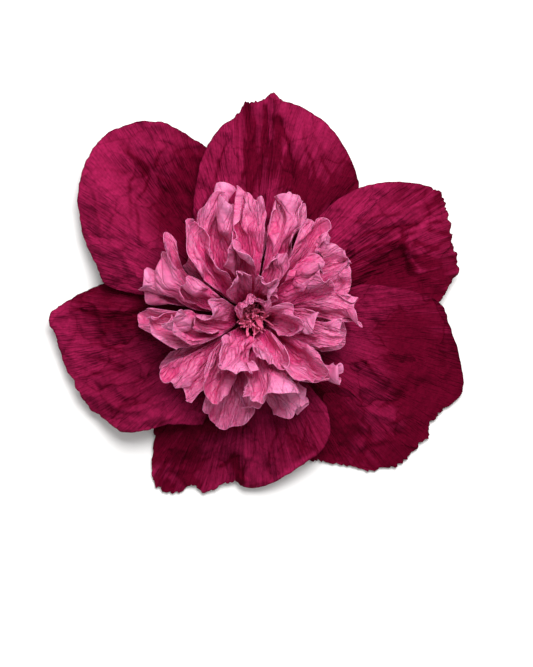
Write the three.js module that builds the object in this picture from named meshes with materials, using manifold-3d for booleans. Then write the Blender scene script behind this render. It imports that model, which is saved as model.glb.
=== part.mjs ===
// A paper camellia lying face up: six crimson petals lapped in a pinwheel on a backing disc, four rings of
// crumpled pink petals and a hood wrapped round a rolled heart, and the heart's fringed end as the stamens.
// Millimetres, +Z up. The origin is the middle of the backing disc's underside.
import * as THREE from "three";
import { mergeVertices } from "three/addons/utils/BufferGeometryUtils.js";
import Module from "manifold-3d";

const { clamp, degToRad, euclideanModulo, lerp, smootherstep, smoothstep } = THREE.MathUtils;
const wasm = await Module();
wasm.setup();

// Paper, and the layer of glue between two pieces
const PAPER = 0.5;
const GLUE_GAP = 0.3;

// Backing disc, and the height that the crimson rims stay above the table
const DISC_RADIUS = 20;
const DISC_THICKNESS = 1.2;
const TABLE_CLEARANCE = 0.6;

// Rolled heart, and the fringe that is cut into its top
const HEART_RADIUS = 4.5;
const HEART_HEIGHT = 13;
const STAMEN_LENGTH = 9;
const STAMEN_WIDTH = 1.5;
const STAMEN_ROOT = 1;
const STAMEN_SPREAD = 3;
const STAMEN_SWAY = 0.6;

// Pink petals: each ring stands round the heart, bends outwards and droops again towards its tips
const NECK_HEIGHT = 3;
const NECK_STEP = 1.2;
const BEND_RADIUS = 8;
const DROOP_RADIUS = 50;
const LOWEST_ELEVATION = 13;
const HIGHEST_ELEVATION = 98;
const POMPOM_RADIUS = 40;
const PINK_WIDTH = 20;
const PINK_FOOT_WIDTH = 4;

// Crumple of the pink petals: the share of a ring's room that stays free, the length over which the folds
// open, the waves of the edges and tips, how far a petal sways to one side, and the pompom's shared heave
const RING_CLEARANCE = 0.16;
const CRUMPLE_REACH = 17;
const EDGE_WAVE = 0.22;
const TIP_WAVE = 0.03;
const SWAY_SHARE = 0.7;
const SWAY_LIMIT = 3;
const HEAVE_HEIGHT = 2;

// How far the tip of the hood bends in over the stamens, and how far it dips
const HOOD_REACH = 8;
const HOOD_DIP = 8;

// Crimson petals: their reach; how far they rise, where the crest is as a share of the reach and how far
// they fall behind it; how far one lies above the next at the rim; how wide the foot is as a share of the
// sheet; how far a swell may stand up and how high it is; and how wide and high the folds are that are left
// from crushing the sheet
const CRIMSON_RADIUS = 84;
const CRIMSON_RISE = 7;
const CRIMSON_CREST = 0.45;
const CRIMSON_FALL = 4;
const CRIMSON_LAP = 7;
const CRIMSON_FOOT_SPREAD = 0.5;
const CRIMSON_HEADROOM = 6;
const CRIMSON_RELIEF = 6;
const CRIMSON_FOLD_WIDTH = 12;
const CRIMSON_FOLD_HEIGHT = 0.7;

// Places across a sheet, from -1 to 1, and along it, from 0 at the foot to 1 at the rim
const evenly = (steps) => Array.from({ length: steps + 1 }, (_, i) => (2 * i) / steps - 1);
const PINK_COLUMNS = evenly(6);
const PINK_ROWS = [0, 0.12, 0.25, 0.4, 0.6, 0.81, 1];
const CRIMSON_COLUMNS = evenly(15);
const CRIMSON_ROWS = [0, 0.12, 0.25, 0.39, 0.53, 0.66, 0.78, 0.9, 1];
const STAMEN_COLUMNS = evenly(1);
const STAMEN_ROWS = [0, 0.4, 0.75, 1];

// Turns of the rolled fringe: how many fingers, how far out they stand and how far they spread, in shares
const STAMEN_TURNS = [
  { count: 3, radius: 0.25, spread: 0.2 },
  { count: 7, radius: 0.5, spread: 0.6 },
  { count: 10, radius: 0.76, spread: 1 },
];

// Ways that a pink petal is crumpled, in shares of the room that its ring has: how far its edges rise, how
// far one edge lifts over the other, how deep its pleats are, how far its edges wave, its tip curls and its
// face billows, and whether it bends in as a hood
const SPOON = { cup: 1.9, twist: 0.3, pleat: 0.5, ruffle: 0.9, curl: 0.4, billow: 0.4, hood: 0 };
const PLEATED = { cup: 0.5, twist: 0.5, pleat: 1.4, ruffle: 1.2, curl: 0.2, billow: 0.5, hood: 0 };
const TWISTED = { cup: 0.6, twist: -1.6, pleat: 0.8, ruffle: 1.1, curl: 0, billow: 0.6, hood: 0 };
const ROLLED = { cup: -1.8, twist: 0.5, pleat: 0.6, ruffle: 1.1, curl: -0.6, billow: 0.4, hood: 0 };
const CURLED = { cup: 1, twist: -0.7, pleat: 0.7, ruffle: 1.2, curl: 1.4, billow: 0.7, hood: 0 };
const HOOD = { cup: -0.9, twist: 0.2, pleat: 0.2, ruffle: 0.4, curl: 0, billow: 0.1, hood: 1 };

// Each pink petal, ring by ring from the lowest: azimuth of its tip and how much further round its foot
// stands, in degrees; its reach and width as shares of the pompom's radius and of the pink width; how
// pointed it is (0 to 1); and the way it is crumpled
const PINK_RINGS = [
  {
    name: "low_petal",
    petals: [
      { azimuth: 128, lean: 8, reach: 0.8, width: 0.95, point: 0.2, fold: TWISTED },
      { azimuth: 94, lean: -4, reach: 0.98, width: 1.1, point: 0.2, fold: PLEATED },
      { azimuth: 66, lean: -6, reach: 1.15, width: 0.5, point: 0.1, fold: CURLED },
      { azimuth: 28, lean: 2, reach: 1, width: 1.3, point: 0, fold: SPOON },
      { azimuth: -12, lean: -4, reach: 0.88, width: 1, point: 0.2, fold: TWISTED },
      { azimuth: -62, lean: -4, reach: 1, width: 0.85, point: 0.5, fold: PLEATED },
      { azimuth: -102, lean: 0, reach: 1.03, width: 1.1, point: 0.1, fold: CURLED },
      { azimuth: -142, lean: 6, reach: 0.88, width: 0.95, point: 0.1, fold: ROLLED },
      { azimuth: -178, lean: 14, reach: 1.05, width: 0.6, point: 0.5, fold: SPOON },
      { azimuth: 163, lean: 0, reach: 1, width: 0.6, point: 0.3, fold: ROLLED },
    ],
  },
  {
    name: "spread_petal",
    petals: [
      { azimuth: 107, lean: 30, reach: 1.14, width: 0.85, point: 0, fold: PLEATED },
      { azimuth: 90, lean: -4, reach: 1.1, width: 0.85, point: 0.2, fold: TWISTED },
      { azimuth: 73, lean: -12, reach: 1.05, width: 0.85, point: 0.3, fold: ROLLED },
      { azimuth: 53, lean: -14, reach: 1.08, width: 1, point: 0, fold: SPOON },
      { azimuth: 2, lean: 18, reach: 0.91, width: 0.7, point: 0.1, fold: ROLLED },
      { azimuth: -12, lean: -10, reach: 0.88, width: 0.75, point: 0.2, fold: CURLED },
      { azimuth: -29, lean: -36, reach: 0.95, width: 0.45, point: 0, fold: TWISTED },
      { azimuth: -92, lean: 0, reach: 0.83, width: 0.7, point: 0.3, fold: PLEATED },
      { azimuth: -134, lean: 0, reach: 0.98, width: 0.95, point: 0, fold: SPOON },
      { azimuth: -172, lean: 20, reach: 0.88, width: 0.85, point: 0.1, fold: PLEATED },
      { azimuth: 138, lean: 34, reach: 1, width: 0.5, point: 0.1, fold: ROLLED },
    ],
  },
  {
    name: "upright_petal",
    petals: [
      { azimuth: 122, lean: 20, reach: 0.93, width: 0.6, point: 0.7, fold: SPOON },
      { azimuth: 99, lean: -4, reach: 0.7, width: 0.55, point: 0.4, fold: TWISTED },
      { azimuth: 75, lean: -20, reach: 0.65, width: 0.4, point: 0.4, fold: SPOON },
      { azimuth: 28, lean: 6, reach: 0.78, width: 1.15, point: 0.1, fold: ROLLED },
      { azimuth: -6, lean: -4, reach: 0.65, width: 0.7, point: 0.3, fold: SPOON },
      { azimuth: -36, lean: -10, reach: 0.83, width: 0.85, point: 0.2, fold: PLEATED },
      { azimuth: -84, lean: 8, reach: 0.78, width: 1, point: 0.1, fold: ROLLED },
      { azimuth: -114, lean: -16, reach: 0.78, width: 0.55, point: 0.3, fold: TWISTED },
      { azimuth: 176, lean: 30, reach: 0.75, width: 0.75, point: 0.1, fold: PLEATED },
      { azimuth: 152, lean: 6, reach: 0.68, width: 0.55, point: 0.3, fold: TWISTED },
    ],
  },
  {
    name: "heart_petal",
    petals: [
      { azimuth: 112, lean: 0, reach: 0.43, width: 0.8, point: 0.1, fold: SPOON },
      { azimuth: 58, lean: 0, reach: 0.45, width: 0.7, point: 0.3, fold: SPOON },
      { azimuth: -14, lean: 10, reach: 0.45, width: 0.9, point: 0.2, fold: SPOON },
      { azimuth: -98, lean: -14, reach: 0.53, width: 0.9, point: 0.1, fold: ROLLED },
      { azimuth: -64, lean: 0, reach: 0.5, width: 0.8, point: 0.3, fold: TWISTED },
      { azimuth: 162, lean: 20, reach: 0.45, width: 0.85, point: 0.2, fold: TWISTED },
    ],
  },
  {
    name: "hood_petal",
    petals: [
      { azimuth: 118, lean: 0, reach: 0.3, width: 0.65, point: 0.1, fold: HOOD },
    ],
  },
];

// Each crimson petal: azimuth of its middle; how far its rim droops, as a share of the relief; its rim, from
// the hidden side to the side that laps over the next petal, as degrees from the middle and shares of the
// reach; and the swells and dents of its face as place across, place along, share of the width, share of the
// length and share of the relief
const CRIMSON_PETALS = [
  {
    azimuth: 136,
    droop: 0.2,
    rim: [
      [-38, 0.5], [-34, 0.69], [-27, 0.82], [-20, 0.935], [-9, 1], [0, 0.975], [8, 0.915], [17, 0.815],
      [26, 0.695], [32, 0.63], [33, 0.49],
    ],
    swells: [[-0.15, 0.72, 0.16, 0.2, -0.5], [0.4, 0.6, 0.3, 0.3, 0.5], [0.1, 0.9, 0.25, 0.15, 0.3]],
  },
  {
    azimuth: 80,
    droop: 0,
    rim: [
      [-38, 0.5], [-31, 0.7], [-25, 0.775], [-14, 0.87], [-3, 0.925], [2, 0.935], [4.5, 0.965],
      [7.5, 0.925], [11.5, 0.915], [14, 0.87], [20, 0.81], [26, 0.725], [33, 0.605], [41, 0.475],
    ],
    swells: [
      [0.15, 0.7, 0.24, 0.45, -1], [0.15, 0.95, 0.12, 0.2, 0.7], [-0.4, 0.75, 0.3, 0.25, 0.7],
      [0.6, 0.6, 0.25, 0.3, 0.1],
    ],
  },
  {
    azimuth: 26,
    droop: 0,
    rim: [
      [-34, 0.5], [-29, 0.69], [-22, 0.81], [-14, 0.905], [-6, 0.93], [1, 0.955], [7, 0.965], [12, 0.92],
      [18, 0.825], [23, 0.73], [27, 0.63], [30, 0.5],
    ],
    swells: [[-0.25, 0.6, 0.22, 0.14, -0.7], [-0.2, 0.86, 0.24, 0.13, 1.3], [0.5, 0.65, 0.25, 0.4, 0.3]],
  },
  {
    azimuth: -32,
    droop: 1,
    rim: [
      [-44, 0.5], [-37, 0.655], [-28, 0.74], [-20, 0.845], [-12, 0.915], [-4, 0.925], [4, 0.915],
      [12, 0.965], [20, 0.92], [29, 0.855], [36, 0.81], [42, 0.665], [48, 0.49],
    ],
    swells: [[-0.2, 0.6, 0.28, 0.22, 0.7], [0.1, 0.9, 0.16, 0.12, -0.5], [0.55, 0.7, 0.25, 0.3, 0.3]],
  },
  {
    azimuth: -98,
    droop: 1,
    rim: [
      [-44, 0.5], [-36, 0.605], [-31, 0.665], [-25.5, 0.77], [-21.5, 0.84], [-17, 0.845], [-12, 0.79],
      [-6, 0.78], [1, 0.72], [7, 0.74], [16, 0.72], [25, 0.68], [34, 0.655], [42, 0.605], [48, 0.5],
    ],
    swells: [[0.05, 0.86, 0.1, 0.14, -0.5], [0.3, 0.8, 0.18, 0.2, 0.5], [-0.5, 0.8, 0.3, 0.3, -0.2]],
  },
  {
    azimuth: 200,
    droop: 0.2,
    rim: [
      [-42, 0.5], [-34, 0.62], [-29, 0.715], [-24, 0.81], [-20, 0.865], [-12, 0.84], [-2, 0.82], [8, 0.805],
      [15, 0.77], [22, 0.74], [28, 0.655], [34, 0.57], [46, 0.51],
    ],
    swells: [[-0.3, 0.95, 0.2, 0.1, 0.7], [0, 0.55, 0.3, 0.25, -0.3], [0.6, 0.8, 0.2, 0.2, 0.5]],
  },
];

const CRIMSON_PAPER = { color: 0x8c1243, roughness: 0.85, metalness: 0 };
const PINK_PAPER = { color: 0xe0639a, roughness: 0.8, metalness: 0 };
const STAMEN_PAPER = { color: 0xb83a5e, roughness: 0.85, metalness: 0 };
const BACKING_CARD = { color: 0x7a1038, roughness: 0.9, metalness: 0 };

const seatHeight = DISC_THICKNESS + GLUE_GAP;
const footPitch = PAPER + GLUE_GAP;
const ringCount = PINK_RINGS.length;
const crimsonPitch = 360 / CRIMSON_PETALS.length;

// Bends a value smoothly so that it stays between -low and high.
function softLimit(value, low, high) {
  return value < 0 ? low * Math.tanh(value / low) : high * Math.tanh(value / high);
}

// The smaller of two lengths, with a rounded change from one to the other.
function softMin(first, second) {
  return first / Math.pow(1 + Math.pow(first / second, 4), 0.25);
}

// Smooth swells and dents one unit of u and v across, between about -1 and 1, another set for each seed.
function paperNoise(u, v, seed) {
  const cellU = Math.floor(u);
  const cellV = Math.floor(v);
  let total = 0;
  for (const i of [0, 1]) {
    for (const j of [0, 1]) {
      const mixed = Math.sin((cellU + i) * 12.9898 + (cellV + j) * 78.233 + seed * 3.7) * 43758.5453;
      const angle = 2 * Math.PI * (mixed - Math.floor(mixed));
      const du = u - cellU - i;
      const dv = v - cellV - j;
      const fade = smootherstep(1 - Math.abs(du), 0, 1) * smootherstep(1 - Math.abs(dv), 0, 1);
      total += fade * (Math.cos(angle) * du + Math.sin(angle) * dv);
    }
  }
  return 1.5 * total;
}

// The same with sharp ridges, as in paper that was crushed and opened again.
function creasedNoise(u, v, seed) {
  return 1 - 2.6 * Math.abs(paperNoise(u, v, seed));
}

// A closed sheet of paper whose middle is surface(across, along), at each of the columns and rows.
function paperSheet(surface, columns, rows) {
  const middle = rows.map((along) => columns.map((across) => surface(across, along)));
  const lastColumn = columns.length - 1;
  const lastRow = rows.length - 1;
  const positions = [];
  for (const side of [0.5, -0.5]) {
    for (let j = 0; j <= lastRow; j += 1) {
      for (let i = 0; i <= lastColumn; i += 1) {
        const sideways = middle[j][Math.min(i + 1, lastColumn)].clone().sub(middle[j][Math.max(i - 1, 0)]);
        const outwards = middle[Math.min(j + 1, lastRow)][i].clone().sub(middle[Math.max(j - 1, 0)][i]);
        const normal = sideways.cross(outwards).normalize();
        positions.push(...middle[j][i].clone().addScaledVector(normal, side * PAPER));
      }
    }
  }
  const front = (j, i) => j * columns.length + i;
  const back = (j, i) => (rows.length + j) * columns.length + i;
  const faces = [];
  const quad = (a, b, c, d) => faces.push(a, b, c, a, c, d);
  for (let j = 0; j < lastRow; j += 1) {
    for (let i = 0; i < lastColumn; i += 1) {
      quad(front(j, i), front(j, i + 1), front(j + 1, i + 1), front(j + 1, i));
      quad(back(j, i), back(j + 1, i), back(j + 1, i + 1), back(j, i + 1));
    }
    quad(front(j, 0), front(j + 1, 0), back(j + 1, 0), back(j, 0));
    quad(front(j, lastColumn), back(j, lastColumn), back(j + 1, lastColumn), front(j + 1, lastColumn));
  }
  for (let i = 0; i < lastColumn; i += 1) {
    quad(front(0, i), back(0, i), back(0, i + 1), front(0, i + 1));
    quad(front(lastRow, i), front(lastRow, i + 1), back(lastRow, i + 1), back(lastRow, i));
  }
  const geometry = new THREE.BufferGeometry();
  geometry.setAttribute("position", new THREE.Float32BufferAttribute(positions, 3));
  geometry.setIndex(faces);
  return geometry;
}

// How a layer of the pompom stands: layer 0 is under the lowest ring and ringCount is inside the innermost.
// Layers never meet, because each one further in stands closer to the heart, bends later and opens less.
function layerCurve(layer) {
  const elevation = degToRad(lerp(LOWEST_ELEVATION, HIGHEST_ELEVATION, layer / ringCount));
  return {
    footRadius: HEART_RADIUS + GLUE_GAP + PAPER / 2 + (ringCount - 0.5 - layer) * footPitch,
    neck: NECK_HEIGHT + layer * NECK_STEP,
    elevation,
    turn: Math.max(0, Math.PI / 2 - elevation),
  };
}

// The radius and height of the point of a layer that is a length along the paper from the foot.
function pointOnLayer(layer, length) {
  const { footRadius, neck, elevation, turn } = layerCurve(layer);
  const turned = clamp((length - neck) / BEND_RADIUS, 0, turn);
  const drooped = elevation - Math.max(0, length - neck - BEND_RADIUS * turn) / DROOP_RADIUS;
  const bendOut = BEND_RADIUS * (1 - Math.cos(turned));
  const bendUp = BEND_RADIUS * Math.sin(turned);
  const droopOut = DROOP_RADIUS * (Math.sin(elevation) - Math.sin(drooped));
  const droopUp = DROOP_RADIUS * (Math.cos(drooped) - Math.cos(elevation));
  return {
    radius: footRadius + bendOut + droopOut,
    height: seatHeight + Math.min(length, neck) + bendUp + droopUp,
  };
}

// The length of paper that takes a layer's tip to a reach from the middle.
function lengthTo(layer, reach) {
  const { footRadius, neck, elevation, turn } = layerCurve(layer);
  const bentOut = footRadius + BEND_RADIUS * (1 - Math.cos(turn));
  const drooped = Math.asin(Math.sin(elevation) - (reach - bentOut) / DROOP_RADIUS);
  return neck + BEND_RADIUS * turn + DROOP_RADIUS * (elevation - drooped);
}

// Places a point of the pompom, with the heave that all pink petals share.
function pompomPoint(radius, azimuth, height) {
  const outward = radius / POMPOM_RADIUS;
  const heaved = height + HEAVE_HEIGHT * outward * outward * Math.sin(3 * azimuth + 0.7);
  return new THREE.Vector3(radius * Math.cos(azimuth), radius * Math.sin(azimuth), heaved);
}

// The azimuth of a pink petal's middle line at a radius, as it leans from its foot to its tip.
function azimuthAt({ azimuth, lean }, radius) {
  return degToRad(azimuth + lean * (1 - radius / POMPOM_RADIUS));
}

// Half the way from a petal to its nearest neighbour in the ring, on the left (1) or right (-1).
function roomBeside(petals, index, side, radius) {
  const own = azimuthAt(petals[index], radius);
  const turns = petals
    .filter((_, i) => i !== index)
    .map((petal) => euclideanModulo(side * (azimuthAt(petal, radius) - own), 2 * Math.PI));
  return (radius * Math.min(2 * Math.PI, ...turns)) / 2 - PAPER / 2 - GLUE_GAP;
}

// One crumpled pink petal, glued round the heart in its ring and opened within its own room.
function pinkPetal(petals, index, ring) {
  const { azimuth, reach, width, point, fold } = petals[index];
  const phase = 5 * degToRad(azimuth);
  const middleLayer = ring + 0.5;
  const { neck } = layerCurve(middleLayer);
  const length = lengthTo(middleLayer, reach * POMPOM_RADIUS);
  const band = (1 - RING_CLEARANCE) / 2;
  const inwards = new THREE.Vector3(-HOOD_REACH, 0, -HOOD_DIP);
  inwards.applyAxisAngle(new THREE.Vector3(0, 0, 1), degToRad(azimuth));
  const surface = (across, along) => {
    const tipShape = lerp(0.06, 0.3, point) * Math.pow(Math.abs(across), lerp(4, 1.6, point));
    const paperLength = along * length * (1 - tipShape - TIP_WAVE * Math.sin(4 * across + phase));
    const crumple =
      fold.cup * (across * across - 0.3) +
      fold.twist * across +
      fold.pleat * Math.sin(3.4 * across + phase + 2.5 * along) +
      fold.ruffle * across * across * Math.sin(11 * along + 2 * phase + 1.5 * across) +
      fold.curl * Math.pow(along, 3) +
      fold.billow * Math.sin(5 * along + 3 * phase);
    const opened = smoothstep(paperLength, neck, neck + CRUMPLE_REACH);
    const layer = middleLayer + opened * softLimit(crumple / 2, band, band);
    const { radius, height } = pointOnLayer(layer, paperLength);
    const belly = smoothstep(along, 0, 0.6) - 0.15 * smoothstep(along, 0.8, 1);
    const wave = 1 + EDGE_WAVE * belly * Math.sin(9 * along + phase + 2 * across);
    const halfWidth = (wave * lerp(PINK_FOOT_WIDTH, width * PINK_WIDTH, belly)) / 2;
    const leftRoom = roomBeside(petals, index, 1, radius);
    const rightRoom = roomBeside(petals, index, -1, radius);
    const left = softMin(halfWidth, leftRoom);
    const right = softMin(halfWidth, rightRoom);
    const sway = SWAY_SHARE * belly * Math.sin(4 * along + 2 * phase);
    const spare = sway > 0 ? leftRoom - left : rightRoom - right;
    const shift = softLimit(sway * spare, SWAY_LIMIT, SWAY_LIMIT);
    const sideways = shift + across * (across > 0 ? left : right);
    const place = pompomPoint(radius, azimuthAt(petals[index], radius) + sideways / radius, height);
    return place.addScaledVector(inwards, fold.hood * Math.pow(smoothstep(along, 0.45, 1), 2));
  };
  return paperSheet(surface, PINK_COLUMNS, PINK_ROWS);
}

// One crimson petal: a broad sheet glued to the disc, lapping over one neighbour and under the other.
function crimsonPetal({ azimuth, droop, rim, swells }, index) {
  const rimCurve = new THREE.SplineCurve(rim.map(([offset, reach]) => new THREE.Vector2(offset, reach)));
  const footRadius = layerCurve(0.5).footRadius + footPitch;
  const footHeight = seatHeight + PAPER / 2;
  const surface = (across, along) => {
    const rimPoint = rimCurve.getPoint((across + 1) / 2);
    const radius = lerp(footRadius, rimPoint.y * CRIMSON_RADIUS, along);
    const offset = rimPoint.x * lerp(CRIMSON_FOOT_SPREAD, 1, smoothstep(along, 0, 0.7));
    const outward = (radius - footRadius) / (CRIMSON_RADIUS - footRadius);
    const lap = lerp(footPitch, CRIMSON_LAP, outward);
    const rise = CRIMSON_RISE * Math.sin((Math.PI / 2) * Math.min(1, outward / CRIMSON_CREST));
    const fall = CRIMSON_FALL * smoothstep(outward, CRIMSON_CREST, 1);
    const base = footHeight + rise - fall + (lap * offset) / crimsonPitch;
    const swell = swells.reduce((sum, [a, b, wide, long, share]) => {
      const apart = Math.pow((across - a) / wide, 2) + Math.pow((along - b) / long, 2);
      return sum + CRIMSON_RELIEF * share * Math.exp(-apart);
    }, -CRIMSON_RELIEF * droop * along * along);
    const u = (degToRad(offset) * radius) / CRIMSON_FOLD_WIDTH;
    const v = radius / CRIMSON_FOLD_WIDTH;
    const folds =
      creasedNoise(u / 0.75, v / 1.5, index) +
      paperNoise(u, v / 1.25, index) +
      creasedNoise(u + v, v - u, index + 0.3);
    const relief = swell + CRIMSON_FOLD_HEIGHT * folds * smoothstep(along, 0.1, 0.4);
    const lapRoom = lap / 3 - PAPER / 2;
    const headroom = lerp(lapRoom, CRIMSON_HEADROOM, smoothstep(across, -0.55, -0.2));
    const legroom = lerp(base - TABLE_CLEARANCE - PAPER / 2, lapRoom, smoothstep(across, 0.2, 0.55));
    const height = base + softLimit(relief * smoothstep(along, 0, 0.4), legroom, headroom);
    const angle = degToRad(azimuth + offset);
    return new THREE.Vector3(radius * Math.cos(angle), radius * Math.sin(angle), height);
  };
  return paperSheet(surface, CRIMSON_COLUMNS, CRIMSON_ROWS);
}

// A geometry as a solid that can be joined to another.
function toSolid(geometry) {
  const bare = geometry.clone();
  bare.deleteAttribute("normal");
  bare.deleteAttribute("uv");
  const merged = mergeVertices(bare, 1e-4);
  const mesh = new wasm.Mesh({
    numProp: 3,
    vertProperties: merged.attributes.position.array,
    triVerts: new Uint32Array(merged.index.array),
  });
  return new wasm.Manifold(mesh);
}

// A joined solid as a geometry again.
function fromSolid(solid) {
  const { vertProperties, triVerts } = solid.getMesh();
  const geometry = new THREE.BufferGeometry();
  geometry.setAttribute("position", new THREE.BufferAttribute(vertProperties, 3));
  geometry.setIndex(new THREE.BufferAttribute(triVerts, 1));
  return geometry;
}

// One finger of the fringe: a narrow strip that leans out of the heart's top and bends to one side.
function stamen(radius, spread, azimuth, k) {
  const length = STAMEN_LENGTH * (0.75 + 0.25 * Math.sin(2.4 * k));
  const surface = (across, along) => {
    const lean = degToRad(STAMEN_SPREAD) * spread * along;
    const out = radius + length * along * Math.sin(lean);
    const half = (across * STAMEN_WIDTH * lerp(1, 0.45, along * along)) / 2;
    const bend = STAMEN_SWAY * along * Math.sin(2.5 * along + k);
    const up = HEART_HEIGHT - STAMEN_ROOT + (length + STAMEN_ROOT) * along * Math.cos(lean);
    return new THREE.Vector3(out, half + bend, up).applyAxisAngle(new THREE.Vector3(0, 0, 1), azimuth);
  };
  return paperSheet(surface, STAMEN_COLUMNS, STAMEN_ROWS);
}

// The heart: a strip rolled up tight, with its top edge cut into a fringe that spreads as the stamens.
function stamenHeart() {
  const roll = new THREE.CylinderGeometry(HEART_RADIUS, HEART_RADIUS, HEART_HEIGHT, 24);
  let heart = toSolid(roll.rotateX(Math.PI / 2).translate(0, 0, HEART_HEIGHT / 2));
  for (const { count, radius, spread } of STAMEN_TURNS) {
    for (let k = 0; k < count; k += 1) {
      const azimuth = (2 * Math.PI * k) / count + spread;
      heart = heart.add(toSolid(stamen(radius * HEART_RADIUS, spread, azimuth, k)));
    }
  }
  return fromSolid(heart).translate(0, 0, seatHeight);
}

function backingDisc() {
  const disc = new THREE.CylinderGeometry(DISC_RADIUS, DISC_RADIUS, DISC_THICKNESS, 48);
  return disc.rotateX(Math.PI / 2).translate(0, 0, DISC_THICKNESS / 2);
}

const camellia = new THREE.Group();

function addPiece(name, geometry, finish) {
  const piece = new THREE.Mesh(geometry, new THREE.MeshStandardMaterial(finish));
  piece.name = name;
  camellia.add(piece);
}

addPiece("backing_disc", backingDisc(), BACKING_CARD);
addPiece("stamen_heart", stamenHeart(), STAMEN_PAPER);
CRIMSON_PETALS.forEach((petal, i) => {
  addPiece(`crimson_petal_${i + 1}`, crimsonPetal(petal, i), CRIMSON_PAPER);
});
PINK_RINGS.forEach(({ name, petals }, ring) => {
  petals.forEach((_, i) => addPiece(`${name}_${i + 1}`, pinkPetal(petals, i, ring), PINK_PAPER));
});

export default camellia;
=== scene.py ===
"""A paper camellia lying face up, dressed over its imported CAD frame.

Six crimson petals lap in a pinwheel on a card disc. Four rings of crumpled pink petals and a hood stand
round a rolled heart, whose fringe is the stamens. Sizes in the tables are millimetres; Blender works in
metres.
"""

import math

import bpy
import numpy as np
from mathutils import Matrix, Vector


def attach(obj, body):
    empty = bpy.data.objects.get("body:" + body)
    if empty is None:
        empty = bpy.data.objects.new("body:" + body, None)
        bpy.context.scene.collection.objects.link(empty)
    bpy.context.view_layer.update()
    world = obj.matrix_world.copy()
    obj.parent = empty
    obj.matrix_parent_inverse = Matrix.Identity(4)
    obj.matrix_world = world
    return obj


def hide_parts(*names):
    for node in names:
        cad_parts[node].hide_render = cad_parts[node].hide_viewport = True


bl_info = {
    "name": "Paper camellia",
    "version": (1, 0, 0),
    "blender": (4, 5, 0),
    "location": "3D View > Sidebar > Camellia",
    "description": "Builds a crumpled paper camellia petal by petal",
    "category": "Add Mesh",
}

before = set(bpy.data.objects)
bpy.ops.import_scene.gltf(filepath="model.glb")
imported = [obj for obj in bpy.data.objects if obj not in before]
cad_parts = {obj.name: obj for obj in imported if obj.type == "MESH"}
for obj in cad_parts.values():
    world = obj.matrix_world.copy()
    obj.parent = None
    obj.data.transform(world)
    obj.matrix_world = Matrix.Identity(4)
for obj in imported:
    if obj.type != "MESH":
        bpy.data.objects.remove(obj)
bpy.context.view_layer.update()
MM = 0.001

# The form that the solids have too, in millimetres and degrees; their paper is twice as thick as here
PAPER = 0.5
GLUE_GAP = 0.3
DISC_RADIUS = 20
DISC_THICKNESS = 1.2
TABLE_CLEARANCE = 0.6
HEART_RADIUS = 4.5
HEART_HEIGHT = 13
NECK_HEIGHT = 3
NECK_STEP = 1.2
BEND_RADIUS = 8
DROOP_RADIUS = 50
LOWEST_ELEVATION = 13
HIGHEST_ELEVATION = 98
PINK_FOOT_WIDTH = 4
POMPOM_RADIUS = 40
RING_CLEARANCE = 0.16
CRUMPLE_REACH = 17
EDGE_WAVE = 0.22
TIP_WAVE = 0.03
LEAN_SHARE = 0.7
HEAVE_HEIGHT = 2
HOOD_REACH = 8
HOOD_DIP = 8
CRIMSON_RADIUS = 84
CRIMSON_RISE = 7
CRIMSON_CREST = 0.45
CRIMSON_FALL = 4
CRIMSON_LAP = 7
CRIMSON_FOOT_SPREAD = 0.5
CRIMSON_HEADROOM = 6
CRIMSON_FOLD_WIDTH = 12
CRIMSON_FOLD_HEIGHT = 0.7

# The crumple that only the scene's paper has, in millimetres
PINK_SWAY = 3
PINK_FOLD_HEIGHT = 1.4
PINK_RIDGE_HEIGHT = 2.8
PINK_RIDGE_WIDTH = 4.5
PINK_CURL_HEIGHT = 2
PINK_CREASE_HEIGHT = 0.35
PINK_CRINKLE_HEIGHT = 0.12
CRIMSON_FRAY = 1.2
CRIMSON_RIDGE_WIDTH = 1.9
CRIMSON_RIDGE_LENGTH = 45

# How a pressed fold of the crimson paper swells over its half width, the half width of the painted shade
# line along it, how dark that painted shade is, and the share of the fold over which it fades out at each
# end
CREASE_RISE = 2
CREASE_SPREAD = 2.2
CREASE_LINE = 0.55
CREASE_SHADE = 9
CREASE_END = 0.25

# The short folds scattered over a crimson petal: how many, then the least and the most of each measure, and
# the spread of their headings in radians
CRUSH_COUNT = 12
CRUSH_TURN = (-30, 34)
CRUSH_REACH = (44, 74)
CRUSH_RUN = (8, 24)
CRUSH_HALF_WIDTH = (0.7, 1.5)
CRUSH_HEIGHT = (0.2, 0.6)
CRUSH_SCATTER = 0.7

# The rolled strip and its fringe in millimetres, with the turn from one finger to the next in radians and
# the widths in shares of the stamen width
HEART_TURNS = 4
HEART_CORE = 0.8
FRINGE_ROOT = 1
FRINGE_SPREAD = 0.88
FILAMENT_LENGTH = 8.5
FILAMENT_TURN = 2.4
WIDE_FILAMENT = 3.5
SLIM_FILAMENT = 0.9
FILAMENTS_PER_WIDE = 6

# Pitches in the papers, in millimetres: the sway of their creases, the clouds of dye, the half width of the
# painted shade line in a crease, and the grain, which is 0.5 mm and drawn coarser so that it shows
SWAY_SIZE = 10
CLOUD_SIZE = 9
CREASE_WIDTH = 0.5
GRAIN_SIZE = 1

CRIMSON_QUICK_GRID, CRIMSON_GRID = (70, 60), (172, 143)
PINK_QUICK_GRID, PINK_GRID = (20, 32), (36, 64)
HEART_GRID, FILAMENT_GRID = (160, 4), (4, 14)

# The stage, in metres and watts, and the lens in millimetres
TABLE_SIZE = 6
ROOM_LIGHT = 0.52
KEY_PLACE = (0.2, 0.7, 1.05)
KEY_SIZE = 0.9
KEY_POWER = 25
CAMERA_PLACE = (5.58 * MM, -6.3 * MM, 1.208)
CAMERA_SENSOR = 36
CAMERA_LENS = 180

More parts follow.
